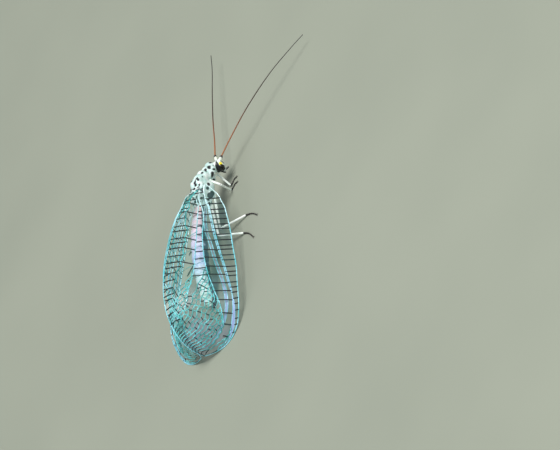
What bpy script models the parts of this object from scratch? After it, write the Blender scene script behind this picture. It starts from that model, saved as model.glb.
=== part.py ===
"""A green lacewing at rest, life size, as a still museum model.

The insect stands on a floor at z = 0 with its head towards -Y, its right side
towards -X and its wings closed over its back like a roof.  Lengths are worked
out in millimetres along the insect's own axes (forward, up, right) from the
middle of its thorax, and body_point() turns them into Blender's metres.
"""
import math
from collections import namedtuple

import bmesh
import bpy
from mathutils import Matrix, Vector

MM = 0.001
GAP = 0.3
EYE_GAP = 0.2

# How the insect stands: thorax height over the floor, nose raised a little.
THORAX_HEIGHT = 2.25
BODY_PITCH = math.radians(7.0)

# Head and thorax, half sizes along the insect's forward, up and right.
HEAD_CENTRE = (1.98, -1.22, 0.34)
HEAD_HALF = (0.46, 0.50, 0.34)
HEAD_YAW = math.radians(28)
HEAD_NOD = math.radians(24)
MUZZLE_HALF = (0.26, 0.30, 0.28)
MUZZLE_PLACE = (0.20, -0.40, 0.0)
PALP_JAW = (0.20, -0.54, 0.16)
PALP_END = (0.30, -0.84, 0.30)
PALP_RADII = 0.20, 0.12
EYE_HALF = (0.32, 0.36, 0.15)
EYE_PLACE = (0.02, -0.04, HEAD_HALF[2] + EYE_GAP + EYE_HALF[2])
PROTHORAX_CENTRE = (1.18, -0.58, 0.13)
PROTHORAX_HALF = (0.80, 0.42, 0.46)
NECK_TURN = math.radians(14), math.radians(32)
MESOTHORAX_CENTRE = (-0.10, 0.0, 0.0)
MESOTHORAX_HALF = (1.00, 0.84, 0.70)
LOBE_CENTRE = (0.10, 0.40, 0.34)
LOBE_HALF = (0.44, 0.42, 0.34)
HINGE_CENTRE = (-0.12, 0.42, 0.66)
HINGE_HALF = (0.34, 0.32, 0.34)
METATHORAX_CENTRE = (-1.15, 0.02, 0.0)
METATHORAX_HALF = (0.85, 0.70, 0.54)

# Where thin cuts part the trunk: (forward, up, right) on the cut, and its nod in degrees.
NECK_CUT = ((1.76, -0.98, 0.26), 28.0)
COLLAR_CUT = ((0.74, -0.28, 0.05), 18.0)
WAIST_CUT = ((-0.86, 0.0, 0.0), 0.0)
ABDOMEN_CUT = ((-1.80, 0.08, 0.0), 0.0)

# Abdomen: its middle line as (forward, up), and its radius by share of its length.
ABDOMEN_LINE = [(-1.70, 0.04), (-3.2, 0.06), (-5.0, -0.02), (-6.6, -0.26), (-7.8, -0.64), (-8.75, -1.04)]
ABDOMEN_RADIUS = [(0.0, 0.38), (0.2, 0.46), (0.4, 0.50), (0.6, 0.51), (0.8, 0.48), (1.0, 0.38)]
ABDOMEN_SEGMENTS = 9
SEGMENT_RINGS = 4
SEGMENT_CREASE = 0.07
LAST_RING = 0.55

# Forewing: root and tip, widest chord, and the roof that the wings make.
WING_ROOT = -0.35
WING_LENGTH = 12.65
WING_WIDTH = 4.95
TIP_START = 0.70
TIP_ROUNDNESS = 2.3
RIDGE_HEIGHT = [(0.0, 1.15), (0.1, 1.72), (0.18, 2.02), (0.3, 2.46), (0.5, 2.94), (0.7, 3.12), (0.8, 3.0), (1.0, 2.75)]
RIDGE_HALF_GAP = [(0.0, 1.05), (0.1, 0.60), (0.2, 0.32), (0.3, 0.20), (0.7, 0.19), (0.85, 0.32), (0.95, 0.60), (1.0, 0.92)]
CHORD_SHARE = [(0.0, 0.12), (0.1, 0.46), (0.2, 0.64), (0.4, 0.86), (0.7, 1.0), (1.0, 1.0)]
ROOF_SLOPE = [(0.0, 52.0), (0.35, 48.0), (0.65, 43.0), (0.8, 41.0), (1.0, 41.0)]
ROOF_LIFT = [(0.0, 0.42), (0.25, 0.42), (0.6, 0.02), (1.0, 0.02)]
TIP_DROP = 2.5
TIP_END = 0.9985
MITRE = 0.17
CAMBER = 0.12

# A wing plate: thickness over the veins, and how far the cells lie below them.
PLATE = 0.54
CELL_DEPTH = 0.06
VEIN_HALF_WIDTH = 0.07
NARROWEST_CELL = 0.22
FOREWING_VEINS = {
    "costa": [(0.0, 0.0), (1.0, 0.0)],
    "radius": [(0.0, 0.42), (0.2, 0.33), (0.45, 0.22), (0.7, 0.10), (1.0, 0.08)],
    "sector": [(0.0, 0.55), (0.2, 0.47), (0.45, 0.45), (0.7, 0.33), (0.9, 0.22), (1.0, 0.22)],
    "media": [(0.0, 0.62), (0.2, 0.54), (0.45, 0.55), (0.7, 0.50), (1.0, 0.46)],
    "inner": [(0.0, 0.70), (0.2, 0.61), (0.45, 0.64), (0.7, 0.67), (1.0, 0.68)],
    "cubitus": [(0.0, 0.80), (0.2, 0.72), (0.45, 0.76), (0.7, 0.81), (1.0, 0.84)],
    "hind": [(0.0, 1.0), (1.0, 1.0)],
}
FOREWING_CELLS = 17
HINDWING_CELLS = 13
HINDWING_START = 0.115
HINDWING_END = 0.95
HINDWING_DEPTH = PLATE + GAP
HINDWING_PLATE = 0.46
HINDWING_FRONT = [(0.0, 0.42), (0.2, 0.20), (0.5, 0.14), (1.0, 0.14)]
HINDWING_BACK = [(0.0, 0.66), (0.2, 0.70), (0.5, 0.78), (1.0, 0.80)]
HINDWING_VEINS = (0.0, 0.14, 0.36, 0.56, 0.78, 1.0)

# Antennae: where each one springs from the head, and its path from there.
ANTENNA_RADIUS = 0.25
ANTENNA_TIP_RADIUS = 0.10
ANTENNA_LEFT = [(2.90, -1.04, 0.08), (3.83, -1.25, -0.27), (6.04, -1.66, -0.98), (8.36, -2.06, -1.68),
                (10.60, -2.45, -2.28), (12.08, -2.66, -2.62)]
ANTENNA_RIGHT = [(2.74, -1.24, 0.86), (3.94, -1.32, 1.98), (5.21, -1.47, 3.23), (6.58, -1.74, 4.68),
                 (7.90, -2.13, 6.22), (9.20, -2.70, 7.88)]
ANTENNA_STEPS = 22

LEG_RADIUS = 0.26
SHIN_RADIUS = 0.24
FOOT_RADIUS = 0.22
FOOT_SINK = 0.06
# Each leg: hip, knee, ankle and toe as (forward, height or None, right); None lies on the floor.
# The left foreleg reaches across under the neck, so both forefeet stand on the right.
MIDLEG = ((-0.45, -1.30, 0.45), (-2.75, -1.50, 0.62), (-2.37, None, 2.61), (-2.80, None, 3.80))
HINDLEG = ((-1.76, -0.66, 0.52), (-3.70, -0.78, 0.98), (-3.77, None, 2.60), (-4.50, None, 3.70))
FORELEGS = {
    "foreleg_left": ((0.92, -1.32, -0.52), (1.24, -1.66, -0.06), (1.10, None, 0.28), (1.60, None, 0.74)),
    "foreleg_right": ((0.72, -1.28, 0.66), (0.30, -1.22, 1.06), (0.42, None, 0.52), (0.88, None, 0.99)),
}

Finish = namedtuple("Finish", "colour roughness")
PALE = Finish((0.72, 0.84, 0.78, 1), 0.45)
LILAC = Finish((0.68, 0.66, 0.80, 1), 0.42)
DARK_EYE = Finish((0.05, 0.04, 0.05, 1), 0.15)
AMBER = Finish((0.35, 0.16, 0.06, 1), 0.5)
LEG_WHITE = Finish((0.85, 0.88, 0.84, 1), 0.45)
WING_GREEN = Finish((0.45, 0.80, 0.82, 1), 0.25)


def clear_scene():
    for thing in list(bpy.data.objects):
        bpy.data.objects.remove(thing, do_unlink=True)


def new_collection(name):
    group = bpy.data.collections.new(name)
    bpy.context.scene.collection.children.link(group)
    return group


def make_material(name, finish):
    material = bpy.data.materials.new(name)
    material.use_nodes = True
    shader = material.node_tree.nodes["Principled BSDF"]
    shader.inputs["Base Color"].default_value = finish.colour
    shader.inputs["Roughness"].default_value = finish.roughness
    return material


def body_point(forward, up, right):
    """Place in metres of a point given along the insect's own axes."""
    lean = math.cos(BODY_PITCH), math.sin(BODY_PITCH)
    ahead = forward * lean[0] - up * lean[1]
    height = THORAX_HEIGHT + up * lean[0] + forward * lean[1]
    return Vector((-right, -ahead, height)) * MM


def floor_point(forward, height, right):
    """Place in metres of a point given by its height over the floor."""
    return Vector((-right, -forward, height)) * MM


def between(stations, place):
    """Smooth value at a place along a few (place, value) stations."""
    if place <= stations[0][0]:
        return stations[0][1]
    for index in range(len(stations) - 1):
        start, end = stations[index], stations[index + 1]
        if place <= end[0]:
            before = stations[max(index - 1, 0)]
            after = stations[min(index + 2, len(stations) - 1)]
            span = end[0] - start[0]
            slope_in = (end[1] - before[1]) / max(end[0] - before[0], 1e-6)
            slope_out = (after[1] - start[1]) / max(after[0] - start[0], 1e-6)
            share = (place - start[0]) / span
            square, cube = share ** 2, share ** 3
            return ((2 * cube - 3 * square + 1) * start[1] + (cube - 2 * square + share) * span * slope_in
                    + (3 * square - 2 * cube) * end[1] + (cube - square) * span * slope_out)
    return stations[-1][1]


def tip_rounding(place, start, end):
    """Share of the full chord that is left as a wing rounds off to its tip."""
    if place <= start:
        return 1.0
    share = min((place - start) / (end - start), 1.0)
    return (1.0 - share ** TIP_ROUNDNESS) ** (1.0 / TIP_ROUNDNESS)


def roof_point(place, chord, depth):
    """Point on the roof of the right wings, in the insect's axes.

    place runs from the root (0) to the tip (1), chord from the front edge (0)
    to the hind edge at the ridge (1), and depth goes inwards from the forewing.
    Near the ridge a wing's inner face is cut back, so that it stays on its own side.
    """
    rounding = tip_rounding(place, TIP_START, 1.0)
    slope = math.radians(between(ROOF_SLOPE, place))
    width = WING_WIDTH * between(CHORD_SHARE, place) * rounding
    ridge_up = between(RIDGE_HEIGHT, place) - TIP_DROP * (1.0 - rounding)
    ridge_right = between(RIDGE_HALF_GAP, place)
    down = width * (1.0 - chord)
    bulge = CAMBER * 4.0 * chord * (1.0 - chord) * width / WING_WIDTH + between(ROOF_LIFT, place) - depth
    right = ridge_right + down * math.cos(slope) + bulge * math.sin(slope)
    crossing = max(MITRE - right, 0.0)
    right += crossing
    down += crossing / math.cos(slope)
    up = ridge_up - down * math.sin(slope) + bulge * math.cos(slope)
    return WING_ROOT - place * WING_LENGTH, up, right


def add_object(name, mesh, group, material=None):
    thing = bpy.data.objects.new(name, mesh)
    group.objects.link(thing)
    if material:
        mesh.materials.append(material)
        mesh.shade_smooth()
        mesh.set_sharp_from_angle(angle=math.radians(40))
    return thing


def face_outwards(bm):
    bmesh.ops.recalc_face_normals(bm, faces=bm.faces)
    if bm.calc_volume(signed=True) < 0:
        bmesh.ops.reverse_faces(bm, faces=bm.faces)


def mesh_from(bm, name):
    face_outwards(bm)
    mesh = bpy.data.meshes.new(name)
    bm.to_mesh(mesh)
    bm.free()
    return mesh


def axes_matrix(yaw=0.0, nod=0.0):
    """Turn from (forward, up, right) to the world, with a turn right and a nod down."""
    pitch = BODY_PITCH - nod
    ahead = Vector((-math.sin(yaw) * math.cos(pitch), -math.cos(yaw) * math.cos(pitch), math.sin(pitch)))
    side = Vector((-math.cos(yaw), math.sin(yaw), 0.0))
    over = side.cross(ahead)
    if over.z < 0:
        over.negate()
    return Matrix((ahead, over, side)).transposed().to_4x4()


def blob(name, centre, half, group, turn=None, sides=16, rings=10, power=1.0):
    """Rounded body: a sphere stretched to its half sizes, squarer where power is under 1."""
    bm = bmesh.new()
    bmesh.ops.create_uvsphere(bm, u_segments=sides, v_segments=rings, radius=1.0)
    for vert in bm.verts:
        vert.co = Vector([math.copysign(abs(value) ** power, value) for value in vert.co])
        vert.co = Vector((vert.co.z * half[0], vert.co.y * half[1], vert.co.x * half[2])) * MM
    bm.transform(Matrix.Translation(body_point(*centre)) @ (turn or axes_matrix()))
    return add_object(name, mesh_from(bm, name), group)


def rod(name, start, end, radius_start, radius_end, group, sides=8):
    """Straight tapered rod between two places in metres, radii in millimetres."""
    bm = bmesh.new()
    run = end - start
    bmesh.ops.create_cone(bm, cap_ends=True, segments=sides, radius1=radius_start * MM,
                          radius2=radius_end * MM, depth=run.length)
    turn = run.to_track_quat('Z', 'Y').to_matrix().to_4x4()
    bm.transform(Matrix.Translation((start + end) / 2) @ turn)
    return add_object(name, mesh_from(bm, name), group)


def ball(name, centre, radius, group, sides=8, rings=6):
    bm = bmesh.new()
    bmesh.ops.create_uvsphere(bm, u_segments=sides, v_segments=rings, radius=radius * MM)
    bm.transform(Matrix.Translation(centre))
    return add_object(name, mesh_from(bm, name), group)


def largest_surface(mesh):
    """Keep only the largest connected surface of a mesh."""
    bm = bmesh.new()
    bm.from_mesh(mesh)
    left = set(bm.faces)
    surfaces = []
    while left:
        reached = [left.pop()]
        surface = list(reached)
        while reached:
            face = reached.pop()
            for edge in face.edges:
                for neighbour in edge.link_faces:
                    if neighbour in left:
                        left.discard(neighbour)
                        reached.append(neighbour)
                        surface.append(neighbour)
        surfaces.append(surface)
    surfaces.sort(key=lambda faces: -sum(face.calc_area() for face in faces))
    for surface in surfaces[1:]:
        bmesh.ops.delete(bm, geom=surface, context='FACES')
    bm.to_mesh(mesh)
    bm.free()


def fuse(name, pieces, group, material):
    """Join closed pieces into one node by a union, and remove the pieces."""
    first, others = pieces[0], pieces[1:]
    extra = new_collection(name + "_pieces")
    for piece in others:
        group.objects.unlink(piece)
        extra.objects.link(piece)
    if others:
        union = first.modifiers.new("union", 'BOOLEAN')
        union.operation = 'UNION'
        union.operand_type = 'COLLECTION'
        union.collection = extra
        union.solver = 'EXACT'
    mesh = bpy.data.meshes.new_from_object(first.evaluated_get(bpy.context.evaluated_depsgraph_get()))
    mesh.name = name
    largest_surface(mesh)
    for piece in pieces:
        bpy.data.objects.remove(piece, do_unlink=True)
    bpy.data.collections.remove(extra)
    mesh.materials.clear()
    return add_object(name, mesh, group, material)


def tube(name, path, radii, group, material, sides=2):
    """Round tube along places in metres, with its own radius at each of them."""
    curve = bpy.data.curves.new(name, 'CURVE')
    curve.dimensions = '3D'
    curve.bevel_depth = MM
    curve.bevel_resolution = sides
    curve.use_fill_caps = True
    spline = curve.splines.new('POLY')
    spline.points.add(len(path) - 1)
    for point, place, radius in zip(spline.points, path, radii):
        point.co = (*place, 1.0)
        point.radius = radius
    source = bpy.data.objects.new(name + "_line", curve)
    group.objects.link(source)
    mesh = bpy.data.meshes.new_from_object(source.evaluated_get(bpy.context.evaluated_depsgraph_get()))
    bpy.data.objects.remove(source, do_unlink=True)
    bm = bmesh.new()
    bm.from_mesh(mesh)
    bmesh.ops.remove_doubles(bm, verts=bm.verts, dist=0.001 * MM)
    bpy.data.meshes.remove(mesh)
    return add_object(name, mesh_from(bm, name), group, material)


def smooth_path(points, count):
    """Even places along a smooth line through a few points."""
    stations = [index / (len(points) - 1) for index in range(len(points))]
    columns = [list(zip(stations, column)) for column in zip(*points)]
    return [tuple(between(column, step / (count - 1)) for column in columns) for step in range(count)]


def make_head(group):
    turn = axes_matrix(HEAD_YAW, HEAD_NOD)
    centre = body_point(*HEAD_CENTRE)

    def on_head(place, side=1):
        return centre + turn.to_3x3() @ (Vector((place[0], place[1], side * place[2])) * MM)

    pieces = [blob("head", HEAD_CENTRE, HEAD_HALF, group, turn, power=0.85)]
    muzzle = blob("muzzle", (0, 0, 0), MUZZLE_HALF, group, turn, sides=12, rings=8)
    muzzle.data.transform(Matrix.Translation(on_head(MUZZLE_PLACE) - body_point(0, 0, 0)))
    pieces.append(muzzle)
    for side in (-1, 1):
        pieces.append(rod("palp", on_head(PALP_JAW, side), on_head(PALP_END, side), *PALP_RADII, group))
    head = fuse("head", pieces, group, make_material("pale_head", PALE))
    cut_off(head, NECK_CUT, behind=True)
    for side, word in ((-1, "left"), (1, "right")):
        eye = ball("eye_" + word, Vector(), 1.0, group, sides=14, rings=10)
        eye.data.transform(Matrix.Translation(on_head(EYE_PLACE, side)) @ turn @ Matrix.Diagonal((*EYE_HALF, 1.0)))
        eye.data.materials.append(make_material("dark_eye_" + word, DARK_EYE))
        eye.data.shade_smooth()


def make_antenna(word, route, group):
    path = [body_point(*place) for place in smooth_path(route, ANTENNA_STEPS)]
    shares = [step / (ANTENNA_STEPS - 1) for step in range(ANTENNA_STEPS)]
    radii = [ANTENNA_TIP_RADIUS + (ANTENNA_RADIUS - ANTENNA_TIP_RADIUS) * (1 - share ** 3) for share in shares]
    tube("antenna_" + word, path, radii, group, make_material("amber_" + word, AMBER))


def make_thorax(group):
    collar = blob("prothorax", PROTHORAX_CENTRE, PROTHORAX_HALF, group, axes_matrix(*NECK_TURN), power=0.8)
    collar = fuse("prothorax", [collar], group, make_material("pale_prothorax", PALE))
    cut_off(collar, NECK_CUT, behind=False)
    cut_off(collar, COLLAR_CUT, behind=True)
    shield = blob("mesothorax", MESOTHORAX_CENTRE, MESOTHORAX_HALF, group, power=0.85)
    pieces = [shield]
    for side in (-1, 1):
        for centre, half in ((LOBE_CENTRE, LOBE_HALF), (HINGE_CENTRE, HINGE_HALF)):
            place = (centre[0], centre[1], side * centre[2])
            pieces.append(blob("lobe", place, half, group, sides=12, rings=8))
    middle = fuse("mesothorax", pieces, group, make_material("pale_mesothorax", PALE))
    cut_off(middle, COLLAR_CUT, behind=False)
    cut_off(middle, WAIST_CUT, behind=True)
    rear = blob("metathorax", METATHORAX_CENTRE, METATHORAX_HALF, group, power=0.85)
    rear = fuse("metathorax", [rear], group, make_material("pale_metathorax", PALE))
    cut_off(rear, WAIST_CUT, behind=False)
    cut_off(rear, ABDOMEN_CUT, behind=True)


def make_abdomen(group):
    count = ABDOMEN_SEGMENTS * SEGMENT_RINGS + 1
    line = smooth_path([(forward, up, 0.0) for forward, up in ABDOMEN_LINE], count)
    radii = []
    for step in range(count):
        crease = SEGMENT_CREASE if step % SEGMENT_RINGS == 0 else 0.0
        radii.append(between(ABDOMEN_RADIUS, step / (count - 1)) * (1 - crease))
    radii[-1] *= LAST_RING
    path = [body_point(*place) for place in line]
    abdomen = tube("abdomen", path, radii, group, make_material("lilac_abdomen", LILAC))
    cut_off(abdomen, ABDOMEN_CUT, behind=False)
    return abdomen


def make_leg(name, joints, side, group):
    """One leg of three tapered rods: hip to knee, knee to ankle, ankle to toe."""
    places = []
    for forward, up, right in joints:
        if up is None:
            height = FOOT_RADIUS - FOOT_SINK
            ahead = forward * math.cos(BODY_PITCH)
            places.append(floor_point(ahead, height, side * right))
        else:
            places.append(body_point(forward, up, side * right))
    hip, knee, ankle, toe = places
    pieces = [
        rod(name, hip, knee, LEG_RADIUS, SHIN_RADIUS, group),
        ball("knee", knee, LEG_RADIUS, group),
        rod("shin", knee, ankle, SHIN_RADIUS, FOOT_RADIUS, group),
        ball("ankle", ankle, SHIN_RADIUS, group),
        rod("foot", ankle, toe, FOOT_RADIUS, FOOT_RADIUS, group),
    ]
    leg = fuse(name, pieces, group, make_material("leg_" + name, LEG_WHITE))
    flatten_below(leg)
    return leg


def trim(thing, place, away):
    """Cut a node off flat at a plane, keep the side that away points to, and close the cut."""
    bm = bmesh.new()
    bm.from_mesh(thing.data)
    geometry = bm.verts[:] + bm.edges[:] + bm.faces[:]
    bmesh.ops.bisect_plane(bm, geom=geometry, dist=1e-7, plane_co=place, plane_no=away, clear_inner=True)
    bmesh.ops.holes_fill(bm, edges=[edge for edge in bm.edges if edge.is_boundary], sides=0)
    face_outwards(bm)
    bm.to_mesh(thing.data)
    bm.free()


def flatten_below(thing):
    """Cut a node off level with the floor."""
    trim(thing, Vector((0, 0, 0)), Vector((0, 0, 1)))


def cut_off(thing, cut, behind):
    """Trim a trunk node half a gap off a cut, on the cut's front side where behind goes, or its rear."""
    place, nod = cut
    forward = axes_matrix(0.0, math.radians(nod)).to_3x3() @ Vector((1, 0, 0))
    away = forward if behind else -forward
    trim(thing, body_point(*place) + away * GAP / 2 * MM, away)


def plate(name, rows, side, group, material):
    """Wing plate from rows of (outer, inner) places, with each cell sunk between its veins."""
    bm = bmesh.new()
    sheets = []
    for face in (0, 1):
        grid = [[bm.verts.new(body_point(*pair[face][:2], side * pair[face][2])) for pair in row] for row in rows]
        sheets.append(grid)
    cells = []
    for grid in sheets:
        for near, far in zip(grid, grid[1:]):
            for index in range(len(near) - 1):
                cells.append(bm.faces.new((near[index], near[index + 1], far[index + 1], far[index])))
    bmesh.ops.bridge_loops(bm, edges=[edge for edge in bm.edges if edge.is_boundary])
    bmesh.ops.recalc_face_normals(bm, faces=bm.faces)
    wide = [face for face in cells if min(edge.calc_length() for edge in face.edges) > NARROWEST_CELL * MM]
    bmesh.ops.inset_individual(bm, faces=wide, thickness=VEIN_HALF_WIDTH * MM, depth=-CELL_DEPTH * MM,
                               use_even_offset=True)
    bmesh.ops.triangulate(bm, faces=bm.faces, quad_method='SHORT_EDGE')
    return add_object(name, mesh_from(bm, name), group, material)


def wing_rows(count, place_at, chords_at, depth, thickness):
    rows = []
    for step in range(count + 1):
        place = place_at(step / count)
        rows.append([(roof_point(place, chord, depth), roof_point(place, chord, depth + thickness))
                     for chord in chords_at(place)])
    return rows


def forewing_rows():
    def place_at(share):
        return TIP_END * math.sin(share * math.pi / 2)

    def chords_at(place):
        return [between(vein, place) for vein in FOREWING_VEINS.values()]

    return wing_rows(FOREWING_CELLS, place_at, chords_at, 0.0, PLATE)


def hindwing_rows():
    def place_at(share):
        return HINDWING_START + (HINDWING_END - HINDWING_START) * TIP_END * math.sin(share * math.pi / 2)

    def chords_at(place):
        along = (place - HINDWING_START) / (HINDWING_END - HINDWING_START)
        front, back = between(HINDWING_FRONT, along), between(HINDWING_BACK, along)
        middle = (front + back) / 2
        half = (back - front) / 2 * tip_rounding(along, TIP_START, 1.0)
        return [middle - half + 2 * half * vein for vein in HINDWING_VEINS]

    return wing_rows(HINDWING_CELLS, place_at, chords_at, HINDWING_DEPTH, HINDWING_PLATE)


def settle_on_origin(group):
    """Move the whole insect so that its box stands centred on the origin."""
    low = [min((thing.matrix_world @ vert.co)[axis] for thing in group.objects for vert in thing.data.vertices)
           for axis in range(3)]
    high = [max((thing.matrix_world @ vert.co)[axis] for thing in group.objects for vert in thing.data.vertices)
            for axis in range(3)]
    shift = Vector(((low[0] + high[0]) / 2, (low[1] + high[1]) / 2, low[2]))
    for thing in group.objects:
        thing.data.transform(Matrix.Translation(-shift))
        thing.data.update()


def main():
    clear_scene()
    group = new_collection("green_lacewing")
    make_head(group)
    make_antenna("left", ANTENNA_LEFT, group)
    make_antenna("right", ANTENNA_RIGHT, group)
    make_thorax(group)
    abdomen = make_abdomen(group)
    flatten_below(abdomen)
    for name, joints in FORELEGS.items():
        make_leg(name, joints, 1, group)
    for side, word in ((-1, "left"), (1, "right")):
        make_leg("midleg_" + word, MIDLEG, side, group)
        make_leg("hindleg_" + word, HINDLEG, side, group)
        glass = make_material("wing_" + word, WING_GREEN)
        plate("forewing_" + word, forewing_rows(), side, group, glass)
        plate("hindwing_" + word, hindwing_rows(), side, group, glass)
    settle_on_origin(group)


main()
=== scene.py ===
import math
import random

import bmesh
import bpy
from mathutils import Matrix, Vector


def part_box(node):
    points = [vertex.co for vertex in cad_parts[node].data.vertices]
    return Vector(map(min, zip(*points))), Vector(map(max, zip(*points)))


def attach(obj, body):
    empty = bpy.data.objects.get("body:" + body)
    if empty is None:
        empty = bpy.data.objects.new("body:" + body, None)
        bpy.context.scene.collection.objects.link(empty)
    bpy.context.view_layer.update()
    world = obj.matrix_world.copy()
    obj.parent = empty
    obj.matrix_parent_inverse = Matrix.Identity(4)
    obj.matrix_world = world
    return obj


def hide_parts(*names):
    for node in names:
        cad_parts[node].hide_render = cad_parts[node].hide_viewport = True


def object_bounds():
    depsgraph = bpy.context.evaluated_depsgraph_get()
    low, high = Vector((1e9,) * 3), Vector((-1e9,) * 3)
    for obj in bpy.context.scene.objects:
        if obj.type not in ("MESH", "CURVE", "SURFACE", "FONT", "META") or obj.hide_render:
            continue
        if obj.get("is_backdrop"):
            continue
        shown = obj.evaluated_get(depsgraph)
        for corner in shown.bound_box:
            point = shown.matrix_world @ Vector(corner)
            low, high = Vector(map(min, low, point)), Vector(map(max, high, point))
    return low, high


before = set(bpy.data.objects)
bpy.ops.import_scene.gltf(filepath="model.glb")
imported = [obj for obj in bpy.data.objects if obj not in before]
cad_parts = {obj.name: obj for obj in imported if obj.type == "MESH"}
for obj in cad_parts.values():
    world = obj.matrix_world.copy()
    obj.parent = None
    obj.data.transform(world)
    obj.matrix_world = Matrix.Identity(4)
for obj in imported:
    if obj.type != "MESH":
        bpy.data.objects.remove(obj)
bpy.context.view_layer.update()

# The thorax: three rings of thin, hard skin over the flight muscles, pale blue-green with
# black spots. It is built of swellings that run into one another, from the neck back to
# the waist, and everything else of the insect is set on it.
MM = 0.001
NOSE_UP = math.radians(7.0)
STANDING_HEIGHT = 2.25
FRONT_TO_MIDDLE = 0.74978
shield_low, shield_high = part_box("mesothorax")
MIDDLE = Vector(((shield_low[0] + shield_high[0]) / 2, shield_low[1] + FRONT_TO_MIDDLE * MM,
                 STANDING_HEIGHT * MM))
ROCK = math.cos(NOSE_UP), math.sin(NOSE_UP)
INSECT = Matrix.Translation(MIDDLE) @ Matrix((
    (0, 0, -MM, 0), (-ROCK[0] * MM, ROCK[1] * MM, 0, 0), (ROCK[1] * MM, ROCK[0] * MM, 0, 0), (0, 0, 0, 1)))


def on_insect(forward, up, right):
    """Place in the frame of a point in millimetres ahead of, above and right of the thorax's middle."""
    return INSECT @ Vector((forward, up, right))


def on_floor(forward, height, right):
    """The same for a point at a height over the floor."""
    return Vector((MIDDLE.x - right * MM, MIDDLE.y - forward * ROCK[0] * MM, height * MM))


class Wire:
    """An output of a material's node. Sums on it add the nodes that work them out."""

    def __init__(self, tree, socket=None):
        self.tree = tree
        self.socket = socket

    def node(self, kind, settings, inputs, output=0):
        """A new node with its settings and inputs, each by its name or number, and the output wanted."""
        made = self.tree.nodes.new("ShaderNode" + kind)
        for key, value in settings.items():
            if key == "stops":
                ramp = made.color_ramp
                while len(ramp.elements) > len(value):
                    ramp.elements.remove(ramp.elements[-1])
                while len(ramp.elements) < len(value):
                    ramp.elements.new(1.0)
                for element, (position, shade) in zip(ramp.elements, value):
                    element.position = position
                    element.color = (*shade, 1.0)
            else:
                setattr(made, key, value)
        for key, value in inputs.items():
            if isinstance(value, Wire):
                self.tree.links.new(value.socket, made.inputs[key])
            else:
                made.inputs[key].default_value = value
        return Wire(self.tree, made.outputs[output])

    def maths(self, operation, *values):
        return self.node("Math", {"operation": operation}, dict(enumerate(values)))

    def __add__(self, other):
        return self.maths("ADD", self, other)

    def __sub__(self, other):
        return self.maths("SUBTRACT", self, other)

    def __rsub__(self, other):
        return self.maths("SUBTRACT", other, self)

    def __mul__(self, other):
        return self.maths("MULTIPLY", self, other)

    def step(self, start, end):
        """0 below start, 1 above end, smooth between them."""
        return self.node("MapRange", {"interpolation_type": "SMOOTHSTEP"},
                         {"Value": self, "From Min": start, "From Max": end})

    def blend(self, below, above):
        """Colour from below to above as this value goes from 0 to 1. Sockets 6 and 7 take the colours."""
        return self.node("Mix", {"data_type": "RGBA"}, {"Factor": self, 6: below, 7: above}, 2)

    def grain(self, scale, detail=3.0):
        """Cloudy values from 0 to 1, mostly near a half. The scale is in clouds per metre."""
        return self.node("TexNoise", {}, {"Vector": self, "Scale": scale, "Detail": detail,
                                          "Roughness": 0.55})

    def axis(self, number):
        """One coordinate of a place: 0 for X, 1 for Y, 2 for Z."""
        return self.node("SeparateXYZ", {}, {0: self}, number)

    def distance(self, centre):
        return self.node("VectorMath", {"operation": "DISTANCE"}, {0: self, 1: centre}, 1)

    def span(self, start, end, top=1.0, **settings):
        """0 at start, the top value at end, even between them."""
        return self.node("MapRange", settings, {"Value": self, "From Min": start, "From Max": end,
                                                "To Max": top})

    def bumps(self, distance, strength):
        return self.node("Bump", {}, {"Height": self, "Distance": distance, "Strength": strength})


def colour(red, green, blue):
    return (red, green, blue, 1.0)


def new_finish(name, **sockets):
    """A material and the object coordinates in it. Its shader's even values are given by socket name."""
    material = bpy.data.materials.new(name)
    material.use_nodes = True
    shader = material.node_tree.nodes["Principled BSDF"]
    for key, value in sockets.items():
        shader.inputs[key.replace("_", " ")].default_value = value
    place = Wire(material.node_tree).node("TexCoord", {}, {}, 3)
    return material, shader, place


def feed(shader, **wires):
    """Join wires to a shader's inputs, given by their names."""
    for key, wire in wires.items():
        shader.id_data.links.new(wire.socket, shader.inputs[key.replace("_", " ")])


SPOT_RAGGED = 0.11 * MM
SPOT_EDGE = 0.03 * MM


def spots_mask(place, spots):
    """1 inside any of the round spots (forward, up, right, radius), in millimetres, with a ragged edge."""
    colours = place.node("TexNoise", {}, {"Vector": place, "Scale": 5200.0, "Detail": 2.0}, 1)
    ragged = place.node("VectorMath", {"operation": "MULTIPLY_ADD"},
                        {0: colours, 1: (SPOT_RAGGED,) * 3, 2: place})
    nearest = None
    for forward, up, right, radius in spots:
        centre = on_insect(forward, up, right) + Vector((SPOT_RAGGED / 2,) * 3)
        away = ragged.distance(centre) - radius * MM
        nearest = away if nearest is None else nearest.maths("MINIMUM", nearest, away)
    return 1 - nearest.step(-SPOT_EDGE, SPOT_EDGE)


def add_piece(name, mesh, material, slot, *nodes):
    """Put a finished mesh in the scene, on the insect's one body, in place of some CAD nodes."""
    mesh.materials.clear()
    mesh.materials.append(material)
    mesh.shade_smooth()
    piece = bpy.data.objects.new(name, mesh)
    bpy.context.scene.collection.objects.link(piece)
    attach(piece, "root")
    if nodes:
        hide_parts(*nodes)


def swelling(bm, centre, half, turn=Matrix(), sides=28, rings=18):
    """A rounded swelling, half sizes along the insect's forward, up and right."""
    made = bmesh.ops.create_uvsphere(bm, u_segments=sides, v_segments=rings, radius=1.0)["verts"]
    shape = Matrix.Translation(centre) @ turn @ Matrix.Diagonal((*half, 1.0))
    bmesh.ops.transform(bm, matrix=shape, verts=made)


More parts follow.
